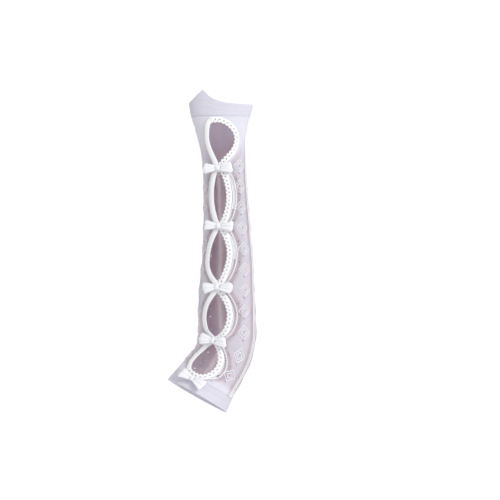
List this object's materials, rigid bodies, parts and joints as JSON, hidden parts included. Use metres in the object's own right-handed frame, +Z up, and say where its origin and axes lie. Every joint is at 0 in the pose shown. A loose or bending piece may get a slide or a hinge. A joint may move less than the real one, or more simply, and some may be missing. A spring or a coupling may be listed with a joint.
{
  "type": "arm warmer",
  "caption": "Elbow-length fingerless arm warmer in lace knit with a thumb hole, oval eyes in picot edging down the back of the arm and a satin bow between eyes.",
  "frame": {"origin": "the elbow, where the middle lines of the forearm and the upper arm meet", "axes": "+Z up the forearm to the hand; -Y out of the back of the arm, where the eyes and bows are; +X to the outside of the elbow, away from the thumb"},
  "size_m": [0.1056, 0.0861, 0.3863],
  "materials": {
    "plain_knit": "fine opaque white knit, matt",
    "lace_knit": "sheer white lace knit, matt",
    "picot_trim": "dense bright white picot edging",
    "satin": "white satin ribbon with a soft sheen"
  },
  "bodies": {
    "root": {"hand_cuff": "plain_knit", "lace_sleeve": "lace_knit", "upper_welt": "plain_knit", "eye_edging_1": "picot_trim", "eye_edging_2": "picot_trim", "eye_edging_3": "picot_trim", "eye_edging_4": "picot_trim", "eye_edging_5": "picot_trim", "bow_1_left_loop": "satin", "bow_1_right_loop": "satin", "bow_1_knot": "satin", "bow_2_left_loop": "satin", "bow_2_right_loop": "satin", "bow_2_knot": "satin", "bow_3_left_loop": "satin", "bow_3_right_loop": "satin", "bow_3_knot": "satin", "bow_4_left_loop": "satin", "bow_4_right_loop": "satin", "bow_4_knot": "satin", "bow_5_left_loop": "satin", "bow_5_right_loop": "satin", "bow_5_knot": "satin"}
  },
  "joints": []
}
